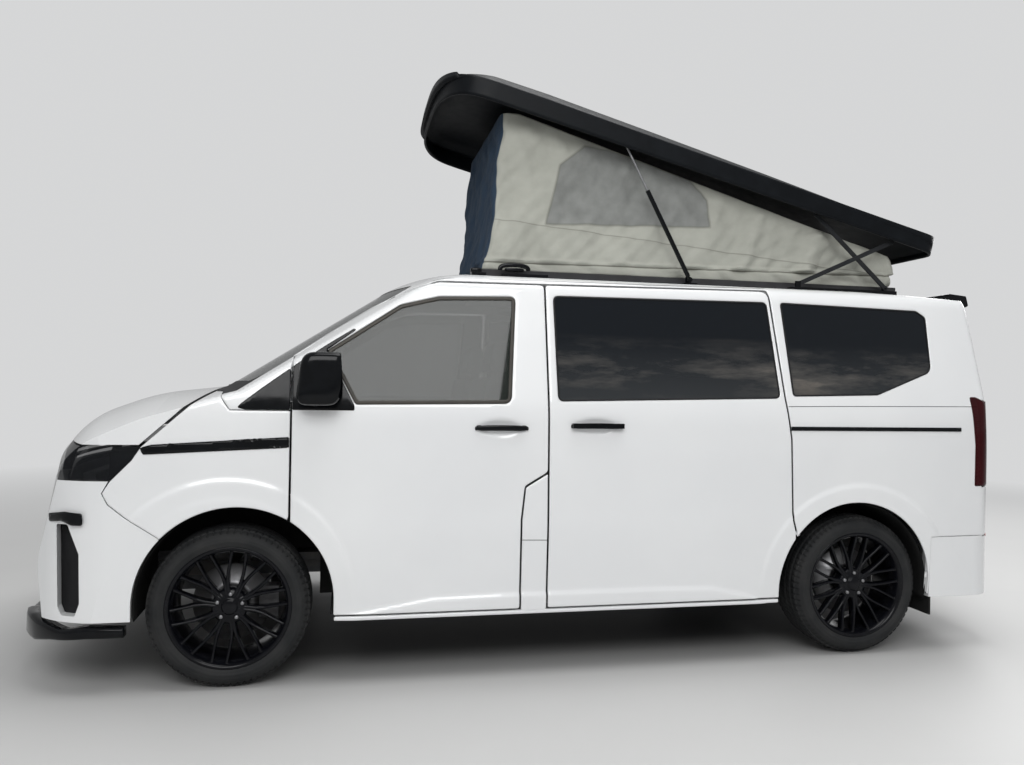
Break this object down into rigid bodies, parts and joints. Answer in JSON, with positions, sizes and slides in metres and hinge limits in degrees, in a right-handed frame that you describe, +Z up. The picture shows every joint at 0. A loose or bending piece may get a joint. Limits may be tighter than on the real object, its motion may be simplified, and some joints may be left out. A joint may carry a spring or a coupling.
{
  "type": "camper van with lifting roof",
  "caption": "Long-wheelbase camper van with a lifting roof tent, hinged cab doors, a sliding side door, tailgate and steered wheels.",
  "frame": {"origin": "on the ground, half way along the vehicle and on its centre line", "axes": "+X forward, +Y to the vehicle's left, +Z up"},
  "size_m": [5.0869, 2.2716, 3.0036],
  "materials": {
    "white_paint": "gloss",
    "body_frame": "satin",
    "black_plastic": "matt",
    "gloss_black": "gloss",
    "roof_black": "satin",
    "clear_glass": "clear, lightly tinted",
    "dark_glass": "dark privacy tint",
    "lamp_lens": "smoked",
    "red_lens": "gloss",
    "tyre": "matt",
    "wheel_black": "gloss black",
    "steel": "bare",
    "cast": "cast",
    "aluminium": "satin",
    "arm_grey": "satin",
    "canvas": "woven",
    "trim_dark": "grained",
    "seat_fabric": "woven",
    "cabinet": "laminate",
    "liner_felt": "matt"
  },
  "bodies": {
    "body": {"side_left": "white_paint", "side_right": "white_paint", "front_wings": "white_paint", "roof_panel": "white_paint", "cowl": "black_plastic", "windscreen": "clear_glass", "front_bumper": "white_paint", "grille": "black_plastic", "splitter": "gloss_black", "headlamps": "lamp_lens", "tail_lamps": "red_lens", "rear_bumper": "white_paint", "side_glass": "dark_glass", "sliding_door": "white_paint", "sliding_door_glass": "dark_glass", "sliding_door_trim": "gloss_black", "floor": "body_frame", "firewall": "body_frame", "chassis_rails": "body_frame", "front_arch_liners": "liner_felt", "rear_arch_liners": "liner_felt", "front_suspension": "steel", "rear_axle": "steel", "engine_block": "cast", "radiator": "aluminium", "exhaust": "steel", "dashboard": "trim_dark", "steering_wheel": "trim_dark", "front_seats": "seat_fabric", "rear_bench": "seat_fabric", "kitchen_unit": "cabinet", "roof_frame": "trim_dark", "roof_brackets": "gloss_black", "canvas": "canvas"},
    "door_left": {"door_left": "white_paint", "door_glass_left": "clear_glass", "door_trim_left": "gloss_black"},
    "door_right": {"door_right": "white_paint", "door_glass_right": "clear_glass", "door_trim_right": "gloss_black"},
    "bonnet": {"bonnet": "white_paint"},
    "tailgate": {"tailgate": "white_paint", "tailgate_glass": "dark_glass", "spoiler": "gloss_black"},
    "lift_arms": {"lift_arms": "arm_grey"},
    "roof": {"roof_shell": "roof_black"},
    "stay_arms": {"stay_arms": "arm_grey"},
    "strut_cylinders": {"strut_cylinders": "gloss_black"},
    "strut_rods": {"strut_rods": "steel"},
    "knuckle_left": {"knuckle_left": "cast"},
    "knuckle_right": {"knuckle_right": "cast"},
    "wheel_front_left": {"tyre_front_left": "tyre", "rim_front_left": "wheel_black"},
    "wheel_front_right": {"tyre_front_right": "tyre", "rim_front_right": "wheel_black"},
    "wheel_rear_left": {"tyre_rear_left": "tyre", "rim_rear_left": "wheel_black"},
    "wheel_rear_right": {"tyre_rear_right": "tyre", "rim_rear_right": "wheel_black"}
  },
  "joints": [
    {"name": "steer_left", "type": "hinge", "parent": "body", "child": "knuckle_left", "pos_m": [1.574, 0.8, 0.356], "axis": [0, 0, 1], "range_deg": [-33, 33]},
    {"name": "steer_right", "type": "hinge", "parent": "body", "child": "knuckle_right", "pos_m": [1.574, -0.8, 0.356], "axis": [0, 0, 1], "range_deg": [-33, 33]},
    {"name": "spin_front_left", "type": "hinge", "parent": "knuckle_left", "child": "wheel_front_left", "pos_m": [1.574, 0.87, 0.356], "axis": [0, 1, 0], "continuous": true},
    {"name": "spin_front_right", "type": "hinge", "parent": "knuckle_right", "child": "wheel_front_right", "pos_m": [1.574, -0.87, 0.356], "axis": [0, 1, 0], "continuous": true},
    {"name": "spin_rear_left", "type": "hinge", "parent": "body", "child": "wheel_rear_left", "pos_m": [-1.526, 0.87, 0.356], "axis": [0, 1, 0], "continuous": true},
    {"name": "spin_rear_right", "type": "hinge", "parent": "body", "child": "wheel_rear_right", "pos_m": [-1.526, -0.87, 0.356], "axis": [0, 1, 0], "continuous": true},
    {"name": "door_left_swing", "type": "hinge", "parent": "body", "child": "door_left", "pos_m": [1.322, 1.018, 0.76], "axis": [0, 0, -1], "range_deg": [0, 70]},
    {"name": "door_right_swing", "type": "hinge", "parent": "body", "child": "door_right", "pos_m": [1.322, -1.018, 0.76], "axis": [0, 0, 1], "range_deg": [0, 70]},
    {"name": "bonnet_lift", "type": "hinge", "parent": "body", "child": "bonnet", "pos_m": [1.69, 0, 1.339], "axis": [0, -1, 0], "range_deg": [0, 55]},
    {"name": "tailgate_lift", "type": "hinge", "parent": "body", "child": "tailgate", "pos_m": [-2.262, 0, 1.918], "axis": [0, 1, 0], "range_deg": [0, 85]},
    {"name": "roof_lift", "type": "hinge", "parent": "body", "child": "lift_arms", "pos_m": [-1.939, 0, 1.95], "axis": [0, 1, 0], "range_deg": [0, 40.87], "deforming": ["canvas"]},
    {"name": "roof_tilt", "type": "hinge", "parent": "lift_arms", "child": "roof", "pos_m": [-1.492, 0, 2.35], "axis": [0, 1, 0], "range_deg": [-26.59, 0]},
    {"name": "stay_turn", "type": "hinge", "parent": "body", "child": "stay_arms", "pos_m": [-1.375, 0, 1.95], "axis": [0, 1, 0], "range_deg": [-23.83, 0]},
    {"name": "strut_turn", "type": "hinge", "parent": "body", "child": "strut_cylinders", "pos_m": [-0.736, 0, 1.95], "axis": [0, 1, 0], "range_deg": [0, 59.43]},
    {"name": "strut_slide", "type": "slide", "parent": "strut_cylinders", "child": "strut_rods", "axis": [0.4701, 0, 0.8826], "range_m": [-0.2292, 0]}
  ],
  "couplings": [
    {"joint": "steer_right", "follows": "steer_left", "ratio": 1},
    {"joint": "roof_tilt", "follows": "roof_lift", "ratio": -0.6501},
    {"joint": "stay_turn", "follows": "roof_lift", "ratio": -0.58259},
    {"joint": "strut_turn", "follows": "roof_lift", "ratio": 1.4538},
    {"joint": "strut_slide", "follows": "roof_lift", "m_per_rad": -0.3211}
  ]
}
